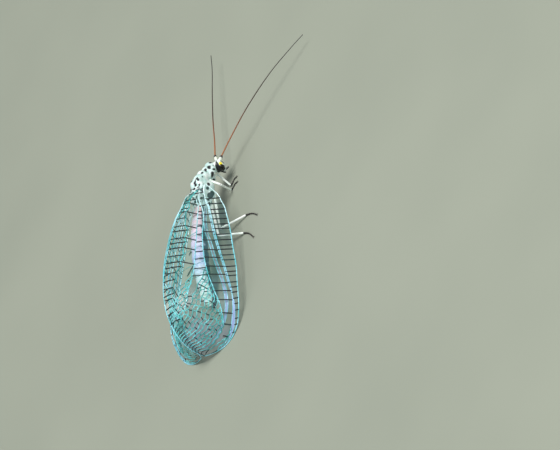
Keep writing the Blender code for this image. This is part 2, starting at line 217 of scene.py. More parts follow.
def run_together(bm, name, voxel, smoothing):
    """One skin over overlapping swellings, in millimetres along the insect's axes."""
    mesh = bpy.data.meshes.new(name)
    bm.to_mesh(mesh)
    bm.free()
    lump = bpy.data.objects.new(name + "_lump", mesh)
    bpy.context.scene.collection.objects.link(lump)
    skin = lump.modifiers.new("skin", 'REMESH')
    skin.mode = 'VOXEL'
    skin.voxel_size = voxel
    even = lump.modifiers.new("even", 'SMOOTH')
    even.factor = 0.5
    even.iterations = smoothing
    done = bpy.data.meshes.new_from_object(lump.evaluated_get(bpy.context.evaluated_depsgraph_get()))
    done.name = name
    bpy.data.objects.remove(lump, do_unlink=True)
    done.transform(INSECT)
    done.update()
    return done


def turned(yaw, nod):
    """Turn of a part of the body: yaw to the insect's right and nod down, in degrees."""
    return Matrix.Rotation(math.radians(-yaw), 4, 'Y') @ Matrix.Rotation(math.radians(-nod), 4, 'Z')


NECK = turned(14, 32)
trunk = bmesh.new()
for centre, half in (
        ((1.18, -0.60, 0.11), (0.64, 0.32, 0.50)),
        ((1.44, -0.66, 0.14), (0.30, 0.32, 0.48)),
        ((0.88, -0.42, 0.02), (0.36, 0.30, 0.50)),
        ((1.30, -0.50, 0.06), (0.36, 0.40, 0.48)),
        ((0.88, -0.16, 0.0), (0.36, 0.42, 0.52)),
        ((1.76, -0.74, -0.02), (0.34, 0.34, 0.42))):
    swelling(trunk, centre, half, NECK)
for centre, half in (
        ((-0.10, -0.08, 0.0), (0.92, 0.72, 0.60)),
        ((0.52, 0.11, 0.0), (0.36, 0.42, 0.48)),
        ((0.62, -0.10, -0.08), (0.34, 0.34, 0.54)),
        ((-0.52, 0.50, 0.0), (0.26, 0.26, 0.24)),
        ((-1.18, -0.06, 0.0), (0.66, 0.58, 0.48)),
        ((-1.46, 0.34, 0.0), (0.22, 0.22, 0.20))):
    swelling(trunk, centre, half)
for side in (-1, 1):
    for centre, half in (
            ((0.14, 0.34, 0.25), (0.42, 0.32, 0.28)),
            ((-0.20, 0.32, 0.50), (0.26, 0.18, 0.18)),
            ((-0.05, -0.42, 0.36), (0.50, 0.42, 0.30)),
            ((-0.52, -0.56, 0.36), (0.40, 0.36, 0.26)),
            ((-0.98, 0.34, 0.27), (0.32, 0.27, 0.27)),
            ((-1.12, 0.27, 0.44), (0.24, 0.17, 0.16)),
            ((-1.15, -0.36, 0.30), (0.42, 0.34, 0.25)),
            ((0.84, -0.80, 0.18), (0.22, 0.32, 0.14))):
        swelling(trunk, (centre[0], centre[1], side * centre[2]), half)

PALE_SKIN = colour(0.50, 0.71, 0.69)
CHALKY_SKIN = colour(0.76, 0.86, 0.85)
BLACK_SKIN = colour(0.012, 0.012, 0.016)


def both_sides(spots, middle=0.0):
    """Spots of the right side, and the same again on the left side."""
    return spots + [(forward, up, 2 * middle - right, radius) for forward, up, right, radius in spots]


# The first ring leans to the right with the neck, so its middle lies a little to the right.
THORAX_SPOTS = both_sides([
    (1.54, -0.38, 0.36, 0.125), (1.38, -0.33, 0.45, 0.125), (1.09, -0.10, 0.38, 0.10),
    (1.66, -0.72, 0.42, 0.07), (1.30, -0.65, 0.60, 0.09), (1.28, -0.60, 0.59, 0.07),
    (0.98, -0.55, 0.55, 0.13), (0.86, -0.62, 0.46, 0.15)], 0.05)
THORAX_SPOTS += both_sides([
    (0.35, 0.59, 0.30, 0.12), (0.22, 0.56, 0.43, 0.10), (0.53, 0.22, 0.45, 0.05),
    (-0.18, 0.49, 0.48, 0.10), (-0.39, 0.46, 0.35, 0.13), (-0.48, 0.22, 0.49, 0.16),
    (0.04, -0.18, 0.60, 0.12), (-0.28, -0.13, 0.58, 0.12), (-0.74, -0.40, 0.53, 0.23),
    (-0.55, -0.53, 0.61, 0.18), (-0.84, 0.02, 0.41, 0.10), (-1.18, 0.37, 0.54, 0.09),
    (-1.14, 0.21, 0.57, 0.09), (-1.08, -0.24, 0.52, 0.10), (-1.33, 0.39, 0.30, 0.12),
    (-1.38, -0.33, 0.50, 0.13), (-1.22, -0.61, 0.45, 0.13), (0.50, -0.70, 0.50, 0.16),
    (-1.10, 0.16, 0.58, 0.09)])
THORAX_SPOTS += [
    (1.92, -0.57, 0.25, 0.10), (1.94, -0.63, 0.27, 0.09), (1.24, -0.15, 0.28, 0.12),
    (0.88, 0.17, 0.30, 0.07), (0.91, 0.14, 0.34, 0.07), (0.71, -0.88, 0.26, 0.10),
    (0.12, 0.63, 0.14, 0.16), (-0.11, 0.60, 0.21, 0.12), (-0.39, 0.68, 0.09, 0.13),
    (-0.53, 0.52, 0.24, 0.12), (-0.36, 0.44, -0.50, 0.12), (-0.68, 0.68, 0.03, 0.12),
    (-0.97, 0.55, -0.12, 0.10), (-1.07, 0.58, 0.25, 0.10), (-1.29, 0.51, 0.04, 0.13)]
thorax_skin, shader, place = new_finish(
    "thorax_skin", Coat_Weight=0.12, Coat_Roughness=0.25, Subsurface_Weight=0.25,
    Subsurface_Radius=(0.20 * MM, 0.24 * MM, 0.20 * MM), Subsurface_Scale=1.0)
mottled = place.grain(2600.0)
black = spots_mask(place, THORAX_SPOTS)
skin_colour = black.blend(mottled.step(0.38, 0.66).blend(PALE_SKIN, CHALKY_SKIN), BLACK_SKIN)
feed(shader, Base_Color=skin_colour, Roughness=mottled * 0.25 + 0.30,
     Normal=place.grain(21000.0, 2.0).bumps(0.02 * MM, 0.5))
add_piece("thorax", run_together(trunk, "thorax", voxel=0.035, smoothing=30), thorax_skin,
          "pale_body", "prothorax", "mesothorax", "metathorax")

# The head: a small hard capsule with the mouth turned down, white with black bands behind the
# eyes and a yellow spot over each. It is turned to the insect's right on its soft neck.
HEAD_PLACE = Vector((1.84, -1.22, 0.36))
HEAD_TURN = turned(28, 24)


def on_head(forward, up, right):
    """On the thorax's axes, a point in millimetres ahead of, above and right of the head's middle."""
    return HEAD_PLACE + HEAD_TURN.to_3x3() @ Vector((forward, up, right))


head = bmesh.new()
for centre, half in (
        ((0.0, 0.0, 0.0), (0.38, 0.42, 0.42)),
        ((-0.10, 0.24, 0.0), (0.24, 0.20, 0.30)),
        ((0.16, 0.12, 0.0), (0.26, 0.26, 0.30)),
        ((0.12, -0.30, 0.0), (0.22, 0.26, 0.26)),
        ((0.10, -0.50, 0.0), (0.14, 0.15, 0.17)),
        ((-0.26, -0.10, 0.0), (0.22, 0.28, 0.26))):
    swelling(head, on_head(*centre), half, HEAD_TURN)
for side in (-1, 1):
    swelling(head, on_head(0.04, -0.30, side * 0.22), (0.17, 0.21, 0.15), HEAD_TURN)
    swelling(head, on_head(0.22, 0.28, side * 0.18), (0.12, 0.12, 0.11), HEAD_TURN)

HEAD_WHITE = colour(0.76, 0.85, 0.80)
HEAD_YELLOW = colour(0.92, 0.78, 0.03)


def head_spots(*spots):
    """Spots given on the head's own axes, as spots on the thorax's."""
    return [(*on_head(*spot[:3]), spot[3]) for spot in spots]


head_skin, shader, place = new_finish(
    "head_skin", Roughness=0.34, Coat_Weight=0.2, Coat_Roughness=0.2, Subsurface_Weight=0.2,
    Subsurface_Radius=(0.16 * MM, 0.18 * MM, 0.14 * MM), Subsurface_Scale=1.0)
yellow = spots_mask(place, head_spots(
    (0.09, 0.19, 0.36, 0.12), (0.09, 0.19, -0.36, 0.12), (0.34, -0.10, 0.0, 0.14)))
HEAD_BLACK = [(0.10, 0.42, 0.0, 0.05), (0.40, 0.0, 0.0, 0.07), (0.24, -0.50, 0.0, 0.10)]
HEAD_BLACK += both_sides([
    (-0.15, 0.01, 0.33, 0.19), (-0.13, -0.16, 0.36, 0.15), (0.08, -0.16, 0.38, 0.12),
    (0.28, 0.35, 0.09, 0.05), (0.26, 0.29, 0.19, 0.055), (0.26, 0.21, 0.25, 0.055),
    (0.27, 0.12, 0.28, 0.06), (0.29, 0.01, 0.27, 0.06), (0.31, -0.12, 0.24, 0.06),
    (0.01, 0.40, 0.13, 0.07), (-0.08, 0.36, 0.24, 0.12), (-0.16, 0.28, 0.29, 0.14),
    (-0.24, 0.16, 0.28, 0.14), (-0.29, 0.02, 0.26, 0.14), (-0.33, -0.12, 0.24, 0.14),
    (-0.24, -0.22, 0.29, 0.13), (-0.12, -0.30, 0.34, 0.10), (0.02, -0.30, 0.36, 0.08)])
black = spots_mask(place, head_spots(*HEAD_BLACK))
feed(shader, Base_Color=black.blend(yellow.blend(HEAD_WHITE, HEAD_YELLOW), BLACK_SKIN),
     Normal=place.grain(24000.0, 2.0).bumps(0.015 * MM, 0.4))
add_piece("head", run_together(head, "head", voxel=0.022, smoothing=4), head_skin, "pale_body", "head")

# The eyes: half-round, set on the sides of the head, of some thousand tiny lenses over a dark
# ground, which throw back a metal glint.
EYE_HALF = (0.165, 0.20, 0.17)
eye_finish, shader, place = new_finish(
    "eye_lenses", Metallic=0.75, Roughness=0.24, Coat_Weight=0.35, Coat_Roughness=0.08)
lens = place.node("TexVoronoi", {"feature": "F1"}, {"Vector": place, "Scale": 26000.0})
glint = place.grain(1500.0, 1.0).step(0.35, 0.65)
feed(shader, Base_Color=glint.blend(colour(0.006, 0.006, 0.008), colour(0.035, 0.028, 0.012)),
     Normal=(1 - lens).bumps(0.012 * MM, 0.6))
for side, word in ((-1, "left"), (1, "right")):
    eye = bmesh.new()
    swelling(eye, on_head(-0.02, -0.02, side * 0.36), EYE_HALF, HEAD_TURN, sides=40, rings=28)
    mesh = bpy.data.meshes.new("eye_" + word)
    eye.to_mesh(mesh)
    eye.free()
    mesh.transform(INSECT)
    add_piece("eye_lenses_" + word, mesh, eye_finish, "eye", "eye_" + word)

# The palps: thin jointed feelers beside the mouth, black with greyer flecks. They are made as
# the long feelers are, from a line of places with a width at each.


def between(stations, place):
    """Smooth value at a place along a few (place, value) stations."""
    if place <= stations[0][0]:
        return stations[0][1]
    for index in range(len(stations) - 1):
        start, end = stations[index], stations[index + 1]
        if place <= end[0]:
            before = stations[max(index - 1, 0)]
            after = stations[min(index + 2, len(stations) - 1)]
            span = end[0] - start[0]
            slope_in = (end[1] - before[1]) / max(end[0] - before[0], 1e-6)
            slope_out = (after[1] - start[1]) / max(after[0] - start[0], 1e-6)
            share = (place - start[0]) / span
            square, cube = share ** 2, share ** 3
            return ((2 * cube - 3 * square + 1) * start[1] + (cube - 2 * square + share) * span * slope_in
                    + (3 * square - 2 * cube) * end[1] + (cube - square) * span * slope_out)
    return stations[-1][1]


def smooth_line(points, count):
    """Even places along a smooth line through a few points."""
    runs = [0.0]
    for start, end in zip(points, points[1:]):
        runs.append(runs[-1] + (Vector(end) - Vector(start)).length)
    columns = [[(run / runs[-1], value) for run, value in zip(runs, column)] for column in zip(*points)]
    return [Vector([between(column, step / (count - 1)) for column in columns]) for step in range(count)]


def threads(name, lines, resolution=2):
    """Round threads along lines of (place in metres, radius in millimetres), as one mesh."""
    curve = bpy.data.curves.new(name, 'CURVE')
    curve.dimensions = '3D'
    curve.bevel_depth = MM
    curve.bevel_resolution = resolution
    curve.use_fill_caps = True
    for line in lines:
        spline = curve.splines.new('POLY')
        spline.points.add(len(line) - 1)
        for point, (place, radius) in zip(spline.points, line):
            point.co = (*place, 1.0)
            point.radius = radius
    source = bpy.data.objects.new(name + "_lines", curve)
    bpy.context.scene.collection.objects.link(source)
    mesh = bpy.data.meshes.new_from_object(source.evaluated_get(bpy.context.evaluated_depsgraph_get()))
    mesh.name = name
    bpy.data.objects.remove(source, do_unlink=True)
    bm = bmesh.new()
    bm.from_mesh(mesh)
    bmesh.ops.remove_doubles(bm, verts=bm.verts, dist=1e-7)
    bmesh.ops.recalc_face_normals(bm, faces=bm.faces)
    bm.to_mesh(mesh)
    bm.free()
    return mesh


palp_finish, shader, place = new_finish("palp_black", Roughness=0.35)
feed(shader, Base_Color=place.grain(9000.0).step(0.55, 0.72).blend(
    colour(0.02, 0.02, 0.025), colour(0.10, 0.10, 0.10)))
PALP_STEPS = 16
palps = []
for side in (-1, 1):
    for joints, width in (
            (((0.00, -0.36, 0.16), (0.06, -0.46, 0.20), (0.18, -0.48, 0.26), (0.35, -0.47, 0.33)), 0.075),
            (((-0.14, -0.34, 0.14), (-0.12, -0.50, 0.17), (-0.03, -0.64, 0.20)), 0.070)):
        joints = [on_head(forward, up, side * right) for forward, up, right in joints]
        line = smooth_line(joints, PALP_STEPS + 1)
        palps.append([(INSECT @ point, width * (1.0 if step % 4 else 0.70) * (1 - 0.3 * step / PALP_STEPS))
                      for step, point in enumerate(line)])
add_piece("palps", threads("palps", palps), palp_finish, "antenna")

# The feelers: each has a stout white first joint, a dark second one, and a long thread of
# about eighty rings, amber at the root and nearly black towards the tip.
FEELERS = {
    "left": [(2.62, -1.06, 0.13), (3.83, -1.26, -0.20), (6.07, -1.59, -0.88), (8.40, -2.00, -1.54),
             (10.64, -2.42, -2.15), (12.02, -2.62, -2.58)],
    "right": [(2.46, -1.25, 0.60), (3.56, -1.31, 1.62), (5.21, -1.47, 3.23), (7.08, -1.87, 5.23),
              (8.53, -2.40, 7.02), (9.18, -2.69, 7.86)],
}
FEELER_RINGS = 84
FEELER_STEPS = FEELER_RINGS * 2
FEELER_WIDTH = 0.052
FEELER_THINNING = 0.027
FEELER_NOTCH = 0.86
FEELER_REACH = 9.09 * MM
feeler_finish, shader, place = new_finish("feeler_amber", Roughness=0.42)
from_root = place.distance(on_insect(2.5, -1.2, 0.3)) * (1 / FEELER_REACH)
amber_to_black = from_root.node("ValToRGB", {"stops": [
    (0.0, (0.38, 0.13, 0.04)), (0.22, (0.26, 0.09, 0.04)), (0.45, (0.05, 0.025, 0.02)),
    (1.0, (0.012, 0.010, 0.012))]}, {"Fac": from_root})
feed(shader, Base_Color=amber_to_black, Normal=place.grain(30000.0, 2.0).bumps(0.01 * MM, 0.5))
scape_finish, shader, place = new_finish("feeler_root", Roughness=0.38, Coat_Weight=0.15)
feed(shader, Base_Color=place.grain(4000.0).step(0.35, 0.65).blend(
    colour(0.72, 0.78, 0.66), colour(0.88, 0.92, 0.84)))
ring_finish, shader, place = new_finish("feeler_collar", Roughness=0.4)
feed(shader, Base_Color=place.grain(4000.0).step(0.35, 0.65).blend(
    colour(0.008, 0.008, 0.012), colour(0.03, 0.02, 0.03)))
for word, route in FEELERS.items():
    line = smooth_line(route, FEELER_STEPS + 1)
    thread = []
    for step, point in enumerate(line):
        share = step / FEELER_STEPS
        width = FEELER_WIDTH - FEELER_THINNING * share
        thread.append((INSECT @ point, width * (1.0 if step % 2 else FEELER_NOTCH)))
    add_piece("feeler_" + word, threads("feeler_" + word, [thread]), feeler_finish, "antenna",
              "antenna_" + word)
    root = on_head(0.22, 0.30, -0.20 if word == "left" else 0.20)
    stalk = [(INSECT @ root.lerp(line[0], share), width) for share, width in (
        (0.0, 0.08), (0.07, 0.115), (0.385, 0.12), (0.595, 0.10), (0.70, 0.075))]
    add_piece("feeler_root_" + word, threads("feeler_root_" + word, [stalk], 4), scape_finish, "pale_body")
    collar = [(INSECT @ root.lerp(line[0], share), width) for share, width in (
        (0.62, 0.07), (0.72, 0.11), (0.97, 0.10), (1.12, 0.055))]
    name = "feeler_collar_" + word
    add_piece(name, threads(name, [collar], 4), ring_finish, "antenna")

# The abdomen: a soft tube of ring plates joined by folds of skin, pink near the waist, then
# lilac and pale blue, with a pale green tip and a blue-black band low on each side, which is
# partly its own colour and partly painted shade on the underside. Its tip rests on the floor.
ABDOMEN_LINE = [(-1.55, 0.06, 0), (-3.2, 0.14, 0), (-5.0, 0.03, 0), (-6.6, -0.24, 0), (-7.8, -0.62, 0),
                (-8.62, -0.98, 0)]
ABDOMEN_WIDTH = [(0.0, 0.36), (0.12, 0.46), (0.25, 0.54), (0.42, 0.58), (0.6, 0.56), (0.8, 0.51),
                 (0.92, 0.46), (1.0, 0.24)]
ABDOMEN_STEPS = 171
RING_PLATES = 8.6
FOLD_DEPTH = 0.13
FOLD_REACH = 0.09
PLATE_TAPER = 0.03
LOWEST_SKIN = 0.01
body_line = smooth_line(ABDOMEN_LINE, ABDOMEN_STEPS + 1)
tube = []
for step, point in enumerate(body_line):
    share = step / ABDOMEN_STEPS
    plate = (share * RING_PLATES) % 1.0
    crease = math.exp(-(min(plate, 1.0 - plate) / FOLD_REACH) ** 2)
    fold = FOLD_DEPTH * crease + PLATE_TAPER * abs(2.0 * plate - 1.0)
    tube.append((INSECT @ point, between(ABDOMEN_WIDTH, share) * (1.0 - fold)))
abdomen = threads("abdomen", [tube], 12)
for vert in abdomen.vertices:
    vert.co.z = max(vert.co.z, LOWEST_SKIN * MM)
belly_skin, shader, place = new_finish(
    "abdomen_skin", Roughness=0.36, Coat_Weight=0.15, Coat_Roughness=0.25, Subsurface_Weight=0.15,
    Subsurface_Radius=(0.22 * MM, 0.18 * MM, 0.26 * MM), Subsurface_Scale=1.0)
along = place.axis(1).span((INSECT @ body_line[0]).y, (INSECT @ body_line[-1]).y)
length_colour = along.node("ValToRGB", {"stops": [
    (0.0, (0.90, 0.50, 0.50)), (0.22, (0.94, 0.66, 0.76)), (0.42, (0.84, 0.70, 0.94)),
    (0.58, (0.52, 0.58, 0.98)), (0.72, (0.60, 0.80, 0.95)), (0.86, (0.74, 0.96, 0.90)),
    (1.0, (0.50, 0.80, 0.66))]}, {"Fac": along})
belly_mottle = place.grain(3200.0, 4.0)
plates_along = along * RING_PLATES
to_fold = plates_along.maths("PINGPONG", plates_along, 0.5)
# How far a place lies below the tube's middle line, whose height a ramp gives as grey values.
HEIGHT_SCALE = 4 * MM
RAMP_STEPS = 8
middle_heights = [(INSECT @ body_line[round(step * ABDOMEN_STEPS / RAMP_STEPS)]).z / HEIGHT_SCALE
                  for step in range(RAMP_STEPS + 1)]
middle_line = along.node("ValToRGB", {"stops": [
    (step / RAMP_STEPS, (value,) * 3) for step, value in enumerate(middle_heights)]}, {"Fac": along})
low = middle_line * HEIGHT_SCALE - place.axis(2) + belly_mottle * (0.30 * MM)
# The tube's lower half, and its folds there, turn blue-black: partly the abdomen's own colour, partly
# painted shade on its underside.
dark = low.step(-0.04 * MM, 0.06 * MM) * place.grain(1500.0, 1.0).step(0.24, 0.40)
marks = (1 - to_fold.step(0.03, 0.09)) * low.step(-0.7 * MM, 0.0)
pale_plate = belly_mottle.step(0.40, 0.75).blend(length_colour, colour(0.80, 0.84, 0.95))
dark_band_and_shade = dark.maths("MAXIMUM", dark, marks * 0.8)
feed(shader, Base_Color=dark_band_and_shade.blend(pale_plate, colour(0.010, 0.012, 0.05)),
     Normal=place.grain(15000.0, 3.0).bumps(0.03 * MM, 0.6))
add_piece("abdomen", abdomen, belly_skin, "abdomen", "abdomen")

# The legs: hip, thigh, shin and a foot of five short joints with two claws. They are pale and
# thin, the feet are black, and each foot lies on the floor.

# A leg's hip and knee are (forward, up, right), its ankle and toe (forward, right) on the floor.
LEGS = {
    "foreleg_left": ((0.95, -0.92, -0.14), (1.41, -1.41, -0.05), (0.94, 0.34), (1.42, 0.80)),
    "foreleg_right": ((0.51, -0.50, 0.32), (0.15, -1.01, 0.85), (0.50, 0.47), (0.95, 0.94)),
}
for side, word in ((-1, "left"), (1, "right")):
    LEGS["midleg_" + word] = ((-0.35, -0.80, side * 0.40), (-3.05, -1.15, side * 0.62),
                              (-2.37, side * 2.61), (-2.80, side * 3.80))
    LEGS["hindleg_" + word] = ((-1.30, -0.62, side * 0.34), (-3.80, -0.78, side * 0.98),
                               (-3.77, side * 2.60), (-4.50, side * 3.70))
leg_finish, shader, place = new_finish(
    "leg_skin", Roughness=0.38, Coat_Weight=0.1, Subsurface_Weight=0.2,
    Subsurface_Radius=(0.1 * MM,) * 3, Subsurface_Scale=1.0)
leg_colour = place.grain(3000.0).step(0.35, 0.7).blend(colour(0.74, 0.84, 0.78), colour(0.92, 0.95, 0.92))
feed(shader, Base_Color=leg_colour, Normal=place.grain(22000.0, 2.0).bumps(0.01 * MM, 0.5))
foot_finish, shader, place = new_finish("foot_skin", Roughness=0.45)
feed(shader, Base_Color=place.grain(5000.0).step(0.40, 0.7).blend(
    colour(0.015, 0.013, 0.015), colour(0.06, 0.045, 0.04)))
ANKLE_HEIGHT = 0.11
TOE_HEIGHT = 0.035
FOOT_JOINTS = 5
FOOT_STEPS = 24
FOOT_BOW = 0.13
FOOT_SAG = 0.05
FOOT_WIDTH = 0.056
FOOT_THINNING = 0.012
JOINT_NOTCH = 0.30
NOTCH_REACH = 0.22
FLOOR_GAP = 0.004
for name, (hip, knee, ankle, toe) in LEGS.items():
    hip, knee = on_insect(*hip), on_insect(*knee)
    ankle = on_floor(ankle[0], ANKLE_HEIGHT, ankle[1])
    toe = on_floor(toe[0], TOE_HEIGHT, toe[1])
    thigh = [(hip.lerp(knee, share), width) for share, width in (
        (0.0, 0.12), (0.06, 0.14), (0.13, 0.10), (0.17, 0.07), (0.22, 0.085), (0.4, 0.095), (0.75, 0.085),
        (0.95, 0.075), (1.0, 0.06))]
    shin = [(knee.lerp(ankle, share), width) for share, width in (
        (0.0, 0.06), (0.03, 0.080), (0.10, 0.074), (0.5, 0.078), (0.9, 0.068), (0.98, 0.072), (1.0, 0.05))]
    add_piece(name + "_limb", threads(name, [thigh, shin], 3), leg_finish, "leg", name)
    run = Vector((toe.x - ankle.x, toe.y - ankle.y, 0)).normalized()
    spread = run.cross(Vector((0, 0, 1)))
    foot = []
    for step in range(FOOT_STEPS + 1):
        share = step / FOOT_STEPS
        joint = (share * FOOT_JOINTS) % 1.0
        notch = JOINT_NOTCH * max(0.0, 1 - min(joint, 1 - joint) / NOTCH_REACH)
        width = (FOOT_WIDTH - FOOT_THINNING * share) * (1.0 - notch)
        arch = math.sin(math.pi * share)
        spot = ankle.lerp(toe, share) + Vector((0, -FOOT_BOW * MM * arch, 0))
        spot.z = max(spot.z - FOOT_SAG * MM * arch, (width + FLOOR_GAP) * MM)
        foot.append((spot, width))
    claws = [foot]
    for way in (-1, 1):
        claws.append([(toe + run * reach * MM + spread * way * out * MM + Vector((0, 0, rise * MM)), width)
                      for reach, out, rise, width in (
                          (-0.02, 0.01, 0.0, 0.022), (0.05, 0.04, 0.01, 0.018),
                          (0.11, 0.06, -0.005, 0.012), (0.14, 0.06, -0.022, 0.005))])
    add_piece(name + "_foot", threads(name + "_foot", claws, 2), foot_finish, "leg")

# The wings: clear membrane, a few thousandths of a millimetre thick, stretched between hollow
# veins. They close over the back like a roof, the hind wings under the fore wings.

# Lengths are in millimetres and slopes in degrees. The lists run from the wing's root, 0, to its tip, 1.
WING_ROOT = -0.35
WING_LENGTH = 12.17
WING_WIDTH = 4.95
RIDGE_HEIGHT = [(0.0, 0.5), (0.063, 1.245), (0.144, 1.64), (0.2, 1.963), (0.3, 2.358), (0.4, 2.633),
                (0.5, 2.874), (0.6, 3.03), (0.7, 3.096), (0.78, 2.964), (0.84, 2.828), (0.89, 2.779),
                (0.93, 2.801), (0.965, 2.886), (1.0, 3.023)]
RIDGE_HALF_GAP = [(0.0, 1.05), (0.063, 0.05), (0.144, 0.04), (0.6, 0.04), (0.7, 0.138), (0.78, 0.181),
                  (0.84, 0.24), (0.89, 0.281), (0.93, 0.294), (0.965, 0.275), (1.0, 0.211)]
CHORD_SHARE = [(0.0, 0.02), (0.06, 0.422), (0.12, 0.547), (0.2, 0.67), (0.3, 0.783), (0.4, 0.862),
               (0.55, 0.97), (0.7, 1.01), (0.78, 0.996), (0.84, 0.967), (0.89, 0.969), (0.93, 0.985),
               (0.965, 1.038), (1.0, 1.139)]
ROOF_SLOPE = [(0.0, 41.2), (0.2, 48.6), (0.4, 48.2), (0.6, 46.05), (0.7, 43.2), (0.78, 43.5),
              (0.84, 45.4), (0.89, 46.9), (0.93, 47.8), (0.965, 48.3), (1.0, 50.1)]
TIP_START = 0.796
TIP_ROUNDNESS = 2.152
TIP_DROP = 3.314
LEFT_LEAN = [(0.0, 0.0), (0.60, 0.0), (0.70, 8.1), (0.80, 14.7), (0.90, 15.0), (1.0, 20.2)]
CAMBER = 0.10
FOREWING_DEPTH = 0.02
LEAST_RIGHT = 0.03


def tip_rounding(place, start):
    """Share of the full chord that is left as a wing rounds off to its tip."""
    if place <= start:
        return 1.0
    share = min((place - start) / (1.0 - start), 1.0)
    return (1.0 - share ** TIP_ROUNDNESS) ** (1.0 / TIP_ROUNDNESS)


def roof(place, chord, depth, side):
    """Point on the roof: place from root 0 to tip 1, chord from front edge 0 to ridge 1, depth inwards.
    The left wing's tip leans in under the right one."""
    rounding = tip_rounding(place, TIP_START)
    slope = math.radians(between(ROOF_SLOPE, place))
    lean = slope - math.radians(between(LEFT_LEAN, place) if side < 0 else 0.0)
    width = WING_WIDTH * between(CHORD_SHARE, place) * rounding
    bulge = CAMBER * 4.0 * chord * (1.0 - chord) * width / WING_WIDTH - depth
    right = (between(RIDGE_HALF_GAP, place) + width * math.cos(slope)
             - chord * width * math.cos(lean) + bulge * math.sin(lean))
    up = (between(RIDGE_HEIGHT, place) - TIP_DROP * (1.0 - rounding) - width * math.sin(slope)
          + chord * width * math.sin(lean) + bulge * math.cos(lean))
    right = max(right, LEAST_RIGHT if lean == slope else -1.0)
    return on_insect(WING_ROOT - place * WING_LENGTH, up, side * right)


def forewing_at(place, chord, side, lift=0.0):
    return roof(place, chord, FOREWING_DEPTH - lift, side)


HINDWING_START = 0.06
HINDWING_LENGTH = 0.925
HINDWING_TIP_START = 0.72
HINDWING_FRONT = [(0.0, 0.44), (0.25, 0.40), (0.34, 0.33), (0.44, 0.28), (0.52, 0.24), (0.62, 0.18),
                  (0.75, 0.145), (1.0, 0.13)]
HINDWING_BACK = [(0.0, 0.74), (0.12, 0.96), (0.3, 0.985), (0.5, 0.96), (0.7, 0.915), (1.0, 0.86)]
HINDWING_DEPTH = [(0.0, 0.46), (0.5, 0.36), (0.8, 0.20), (1.0, 0.10)]


def hindwing_at(place, chord, side, lift=0.0):
    """The same for the hind wing, which is smaller and lies inside the fore wing."""
    front, back = between(HINDWING_FRONT, place), between(HINDWING_BACK, place)
    middle, half = (front + back) / 2, (back - front) / 2 * tip_rounding(place, HINDWING_TIP_START)
    depth = between(HINDWING_DEPTH, place) - lift
    return roof(HINDWING_START + HINDWING_LENGTH * place, middle + half * (2 * chord - 1), depth, side)


membrane, shader, place = new_finish("wing_membrane", Roughness=0.16, IOR=1.50, Specular_IOR_Level=0.8)
ripple = place.grain(900.0, 2.0)
sheen = place.grain(420.0, 1.0).step(0.35, 0.62)
violet = place.axis(1).span(on_insect(-8.0, 0, 0).y, on_insect(-12.5, 0, 0).y, 0.85)
green_blue = ripple.step(0.35, 0.65).blend(colour(0.10, 0.52, 0.40), colour(0.22, 0.60, 0.66))
feed(shader, Base_Color=(violet * sheen).blend(green_blue, colour(0.55, 0.60, 1.0)),
     Alpha=ripple * 0.08 + violet * sheen * 0.08 + 0.03,
     Normal=place.grain(2400.0, 2.0).bumps(0.06 * MM, 0.35))
band_finish, shader, place = new_finish("wing_edge_band", Roughness=0.25, IOR=1.5)
stigma = place.axis(1).span(on_insect(-6.0, 0, 0).y, on_insect(-10.0, 0, 0).y,
                            interpolation_type="SMOOTHSTEP")
feed(shader, Base_Color=stigma.blend(colour(0.50, 0.62, 0.80), colour(0.40, 0.50, 0.92)),
     Alpha=place.grain(1500.0, 2.0) * 0.35 + stigma * 0.30 + 0.12)
vein_pale, shader, place = new_finish("vein_pale", Roughness=0.28, Coat_Weight=0.5, Coat_Roughness=0.12)
from_root = place.axis(1).span(on_insect(-0.5, 0, 0).y, on_insect(-4.5, 0, 0).y)
sky_blue = place.grain(900.0, 2.0).step(0.38, 0.62).blend(colour(0.08, 0.54, 0.62), colour(0.30, 0.78, 0.92))
feed(shader, Base_Color=from_root.blend(colour(0.74, 0.93, 0.96), sky_blue))
vein_teal, shader, place = new_finish("vein_teal", Roughness=0.32, Coat_Weight=0.3, Coat_Roughness=0.2)
feed(shader, Base_Color=place.grain(1300.0, 2.0).step(0.38, 0.64).blend(
    colour(0.02, 0.26, 0.24), colour(0.12, 0.60, 0.62)))
vein_black, shader, place = new_finish("vein_black", Roughness=0.55)
feed(shader, Base_Color=place.grain(1400.0, 2.0).step(0.45, 0.75).blend(
    colour(0.004, 0.006, 0.008), colour(0.015, 0.05, 0.05)))

# Each long vein is a line of (place, chord), chord being 0 at the front edge and 1 at the ridge.
FOREWING_VEINS = {
    "strut": [(0.0, 0.52), (0.04, 0.44), (0.093, 0.405), (0.206, 0.343), (0.316, 0.295), (0.411, 0.242),
              (0.488, 0.203), (0.578, 0.160), (0.693, 0.104), (0.79, 0.056), (0.88, 0.045),
              (1.0, 0.03)],
    "spar": [(0.0, 0.60), (0.04, 0.46), (0.105, 0.385), (0.206, 0.316), (0.316, 0.268), (0.411, 0.218),
             (0.488, 0.182), (0.578, 0.140), (0.694, 0.088), (0.79, 0.078), (0.88, 0.088),
             (0.93, 0.075), (1.0, 0.06)],
    "sector": [(0.0, 0.66), (0.06, 0.60), (0.126, 0.545), (0.198, 0.470), (0.335, 0.474),
               (0.439, 0.455), (0.522, 0.429), (0.596, 0.389), (0.657, 0.344), (0.716, 0.307),
               (0.765, 0.267), (0.804, 0.245), (0.871, 0.215), (1.0, 0.16)],
    "inner": [(0.0, 0.72), (0.08, 0.66), (0.15, 0.60), (0.266, 0.579), (0.367, 0.572), (0.473, 0.577),
              (0.539, 0.584), (0.589, 0.595), (0.63, 0.615), (0.684, 0.653), (0.751, 0.695),
              (0.80, 0.739), (1.0, 0.86)],
    "outer": [(0.0, 0.80), (0.119, 0.821), (0.204, 0.839), (0.241, 0.801), (0.306, 0.749),
              (0.394, 0.754), (0.456, 0.759), (0.507, 0.770), (0.551, 0.790), (0.598, 0.849),
              (0.673, 0.855), (0.741, 0.872), (0.828, 0.875), (0.87, 0.835), (1.0, 0.9)],
}
